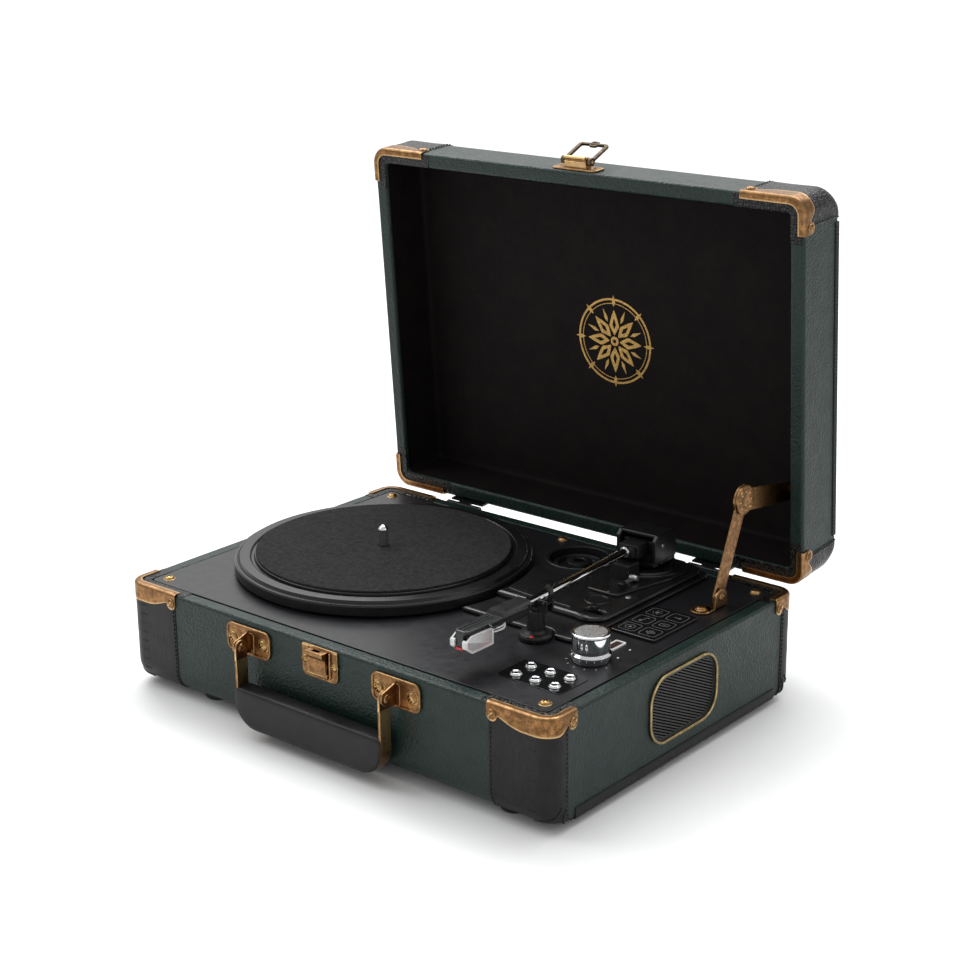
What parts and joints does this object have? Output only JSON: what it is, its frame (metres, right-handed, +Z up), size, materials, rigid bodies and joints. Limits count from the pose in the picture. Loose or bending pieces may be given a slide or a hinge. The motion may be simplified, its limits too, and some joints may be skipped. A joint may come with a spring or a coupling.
{
  "type": "suitcase record player",
  "caption": "Portable suitcase record player with its lid open, with platter, tonearm, deck controls, side speakers, brass corners and a carrying handle.",
  "frame": {"origin": "middle of the floor area covered by the player with its lid open, at the bottom of the feet", "axes": "+X to the right along the front, +Y to the back where the lid is hinged, +Z up"},
  "size_m": [0.384, 0.3458, 0.3693],
  "materials": {
    "leatherette": "grained dark bottle-green leatherette, low sheen",
    "deck_plastic": "satin black moulded plastic with a fine texture",
    "platter_plastic": "satin black moulded plastic",
    "felt": "speckled dark grey felt",
    "chrome": "polished chrome plate",
    "brass_bright": "turned brass",
    "rubber": "dull black rubber",
    "steel": "zinc-plated steel",
    "black_plastic": "satin black plastic",
    "gloss_black": "semi-gloss black plastic",
    "board": "green circuit board",
    "antique_brass": "mottled antique brass",
    "dark_bronze": "dark bronze plate",
    "dark_leather": "charcoal grained leather",
    "clear_guard": "cloudy translucent plastic",
    "speaker_mesh": "dark woven mesh in a brass ring",
    "lining": "black matte lining",
    "thread": "black thread and binding tape",
    "gilt": "printed gold ornament",
    "red_plastic": "red plastic",
    "white_print": "white print"
  },
  "bodies": {
    "case": {"base_shell": "leatherette", "deck_plate": "deck_plastic", "base_corner_front_left": "antique_brass", "base_corner_rear_left": "antique_brass", "base_corner_front_right": "antique_brass", "base_corner_rear_right": "antique_brass", "foot_front_left": "rubber", "foot_rear_left": "rubber", "foot_front_right": "rubber", "foot_rear_right": "rubber", "speaker_grille_left": "speaker_mesh", "speaker_grille_right": "speaker_mesh", "speaker_driver_left": "black_plastic", "speaker_driver_right": "black_plastic", "catch_plate": "antique_brass", "handle_bracket_left": "antique_brass", "handle_bracket_right": "antique_brass", "stay_foot": "antique_brass", "tonearm_plinth": "gloss_black", "arm_rest_post": "black_plastic", "motor": "steel", "circuit_board": "board", "drive_belt": "rubber", "hinge_base_leaf_left": "dark_bronze", "hinge_base_leaf_right": "dark_bronze", "rear_jack_panel": "black_plastic"},
    "lid": {"lid_shell": "leatherette", "lid_corner_front_left": "antique_brass", "lid_corner_rear_left": "antique_brass", "lid_corner_front_right": "antique_brass", "lid_corner_rear_right": "antique_brass", "latch_plate": "antique_brass", "hinge_lid_leaf_left": "dark_bronze", "hinge_lid_leaf_right": "dark_bronze"},
    "platter": {"platter": "platter_plastic", "slipmat": "felt", "spindle": "chrome"},
    "pulley": {"motor_pulley": "brass_bright"},
    "turret": {"tonearm_turret": "black_plastic"},
    "tonearm": {"tonearm_tube": "chrome", "headshell": "black_plastic", "cartridge": "black_plastic"},
    "guard": {"stylus_guard": "clear_guard"},
    "clip": {"arm_rest_clip": "black_plastic"},
    "cue": {"cue_lever": "chrome"},
    "speed": {"speed_selector": "black_plastic"},
    "knob": {"volume_knob": "chrome"},
    "button_1": {"push_button_1": "chrome"},
    "button_2": {"push_button_2": "chrome"},
    "button_3": {"push_button_3": "chrome"},
    "button_4": {"push_button_4": "chrome"},
    "button_5": {"push_button_5": "chrome"},
    "button_6": {"push_button_6": "chrome"},
    "adapter": {"adapter_45": "black_plastic"},
    "stay_lower": {"stay_lower_arm": "antique_brass"},
    "stay_upper": {"stay_upper_arm": "antique_brass"},
    "catch": {"catch_lever": "antique_brass"},
    "handle": {"handle_grip": "dark_leather", "handle_strap": "antique_brass"},
    "hasp": {"latch_hasp": "dark_bronze"}
  },
  "joints": [
    {"name": "lid_hinge", "type": "hinge", "parent": "case", "child": "lid", "pos_m": [0, 0.12321, 0.0736], "axis": [1, 0, 0], "range_deg": [0, 86.1]},
    {"name": "stay_lower_pivot", "type": "hinge", "parent": "case", "child": "stay_lower", "pos_m": [0.1652, 0.06061, 0.0857], "axis": [1, 0, 0], "range_deg": [0, 102.5]},
    {"name": "stay_upper_pivot", "type": "hinge", "parent": "lid", "child": "stay_upper", "pos_m": [0.1722, 0.1546, 0.13798], "axis": [1, 0, 0], "range_deg": [-69.2, 0]},
    {"name": "platter_spin", "type": "hinge", "parent": "case", "child": "platter", "pos_m": [-0.071, -0.01689, 0.09], "axis": [0, 0, -1], "continuous": true},
    {"name": "motor_pulley_spin", "type": "hinge", "parent": "case", "child": "pulley", "pos_m": [-0.12764, 0.05561, 0.083], "axis": [0, 0, -1], "continuous": true},
    {"name": "tonearm_swing", "type": "hinge", "parent": "case", "child": "turret", "pos_m": [0.093, 0.07811, 0.1048], "axis": [0, 0, -1], "range_deg": [0, 45]},
    {"name": "tonearm_lift", "type": "hinge", "parent": "turret", "child": "tonearm", "pos_m": [0.093, 0.07811, 0.1048], "axis": [0.998, 0.0628, 0], "range_deg": [-12, 0]},
    {"name": "stylus_guard_removal", "type": "slide", "parent": "tonearm", "child": "guard", "axis": [0, -1, 0], "range_m": [0, 0.028]},
    {"name": "arm_rest_clip_turn", "type": "hinge", "parent": "case", "child": "clip", "pos_m": [0.1111, -0.05789, 0.1054], "axis": [0, -1, 0], "range_deg": [0, 62]},
    {"name": "cue_lever_lift", "type": "hinge", "parent": "case", "child": "cue", "pos_m": [0.1075, 0.04411, 0.0903], "axis": [-1, 0, 0], "range_deg": [0, 40]},
    {"name": "speed_selector_slide", "type": "slide", "parent": "case", "child": "speed", "axis": [1, 0, 0], "range_m": [-0.005, 0.005]},
    {"name": "volume_knob_turn", "type": "hinge", "parent": "case", "child": "knob", "pos_m": [0.1518, -0.06469, 0.09], "axis": [0, 0, -1], "range_deg": [0, 300]},
    {"name": "push_button_1_press", "type": "slide", "parent": "case", "child": "button_1", "axis": [0, 0, -1], "range_m": [0, 0.001], "stiffness_N_per_m": 300},
    {"name": "push_button_2_press", "type": "slide", "parent": "case", "child": "button_2", "axis": [0, 0, -1], "range_m": [0, 0.001], "stiffness_N_per_m": 300},
    {"name": "push_button_3_press", "type": "slide", "parent": "case", "child": "button_3", "axis": [0, 0, -1], "range_m": [0, 0.001], "stiffness_N_per_m": 300},
    {"name": "push_button_4_press", "type": "slide", "parent": "case", "child": "button_4", "axis": [0, 0, -1], "range_m": [0, 0.001], "stiffness_N_per_m": 300},
    {"name": "push_button_5_press", "type": "slide", "parent": "case", "child": "button_5", "axis": [0, 0, -1], "range_m": [0, 0.001], "stiffness_N_per_m": 300},
    {"name": "push_button_6_press", "type": "slide", "parent": "case", "child": "button_6", "axis": [0, 0, -1], "range_m": [0, 0.001], "stiffness_N_per_m": 300},
    {"name": "adapter_45_removal", "type": "slide", "parent": "case", "child": "adapter", "axis": [0, 0, 1], "range_m": [0, 0.03]},
    {"name": "catch_lever_tilt", "type": "hinge", "parent": "case", "child": "catch", "pos_m": [0, -0.15889, 0.058], "axis": [-1, 0, 0], "range_deg": [-25, 0], "stiffness_Nm_per_rad": 0.05},
    {"name": "handle_swing", "type": "hinge", "parent": "case", "child": "handle", "pos_m": [0, -0.16589, 0.0628], "axis": [-1, 0, 0], "range_deg": [-4, 120]},
    {"name": "hasp_swing", "type": "hinge", "parent": "lid", "child": "hasp", "pos_m": [0, 0.11873, 0.35845], "axis": [1, 0, 0], "range_deg": [-20, 160]}
  ],
  "couplings": [
    {"joint": "stay_lower_pivot", "follows": "lid_hinge", "ratio": 1.1843},
    {"joint": "stay_upper_pivot", "follows": "lid_hinge", "ratio": -0.7976},
    {"joint": "motor_pulley_spin", "follows": "platter_spin", "ratio": 14.286}
  ]
}
